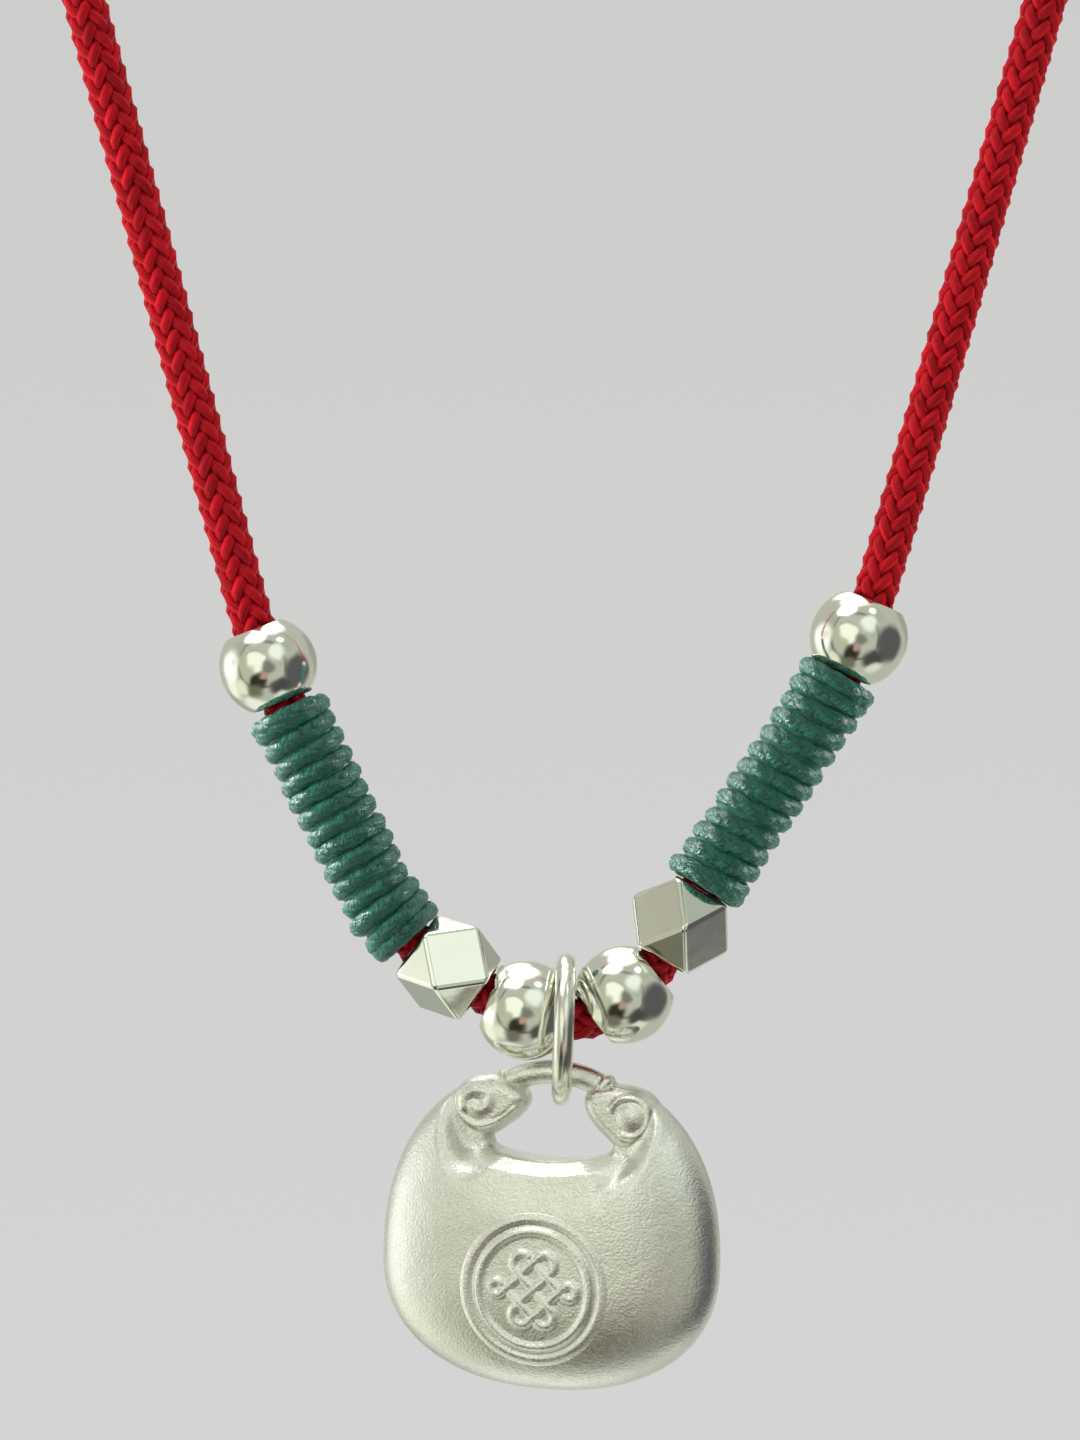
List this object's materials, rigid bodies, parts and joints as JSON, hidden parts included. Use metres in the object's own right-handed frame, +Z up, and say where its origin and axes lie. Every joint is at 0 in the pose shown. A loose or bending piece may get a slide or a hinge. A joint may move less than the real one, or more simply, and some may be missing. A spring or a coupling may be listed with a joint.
{
  "type": "longevity lock pendant necklace",
  "caption": "A satin silver longevity lock on a jump ring, with silver beads and green thread wraps, on a red braided cord necklace closed at the nape.",
  "frame": {"origin": "the middle of the sleeve at the top of the loop, where the nape of the neck carries the necklace", "axes": "+X to the right as seen from the front, +Y away from the viewer through the loop, +Z up; the lock hangs at the bottom and its face is turned 18 degrees from -Y towards -X"},
  "size_m": [0.1092, 0.0126, 0.2274],
  "materials": {
    "red_cord": "round braid of glossy nylon",
    "green_thread": "waxed twisted thread",
    "polished_silver": "mirror polish with light scratches",
    "satin_silver": "fine-grained satin with hammered streaks"
  },
  "bodies": {
    "necklace": {"braided_cord": "red_cord", "cord_clasp": "polished_silver", "upper_bead_left": "polished_silver", "upper_bead_right": "polished_silver", "thread_wrap_left": "green_thread", "thread_wrap_right": "green_thread", "faceted_bead_left": "polished_silver", "faceted_bead_right": "polished_silver", "lower_bead_left": "polished_silver", "lower_bead_right": "polished_silver"},
    "hanging_ring": {"jump_ring": "polished_silver"},
    "hanging_lock": {"lock": "satin_silver"}
  },
  "joints": [
    {"name": "ring_swing", "type": "hinge", "parent": "necklace", "child": "hanging_ring", "pos_m": [0.00015, 0, -0.19472], "axis": [0.9994, 0, -0.0349], "range_deg": [-75, 75]},
    {"name": "lock_swing", "type": "hinge", "parent": "hanging_ring", "child": "hanging_lock", "pos_m": [-0.00002, 0, -0.19949], "axis": [0.9505, -0.3088, -0.0349], "range_deg": [-60, 60]}
  ]
}
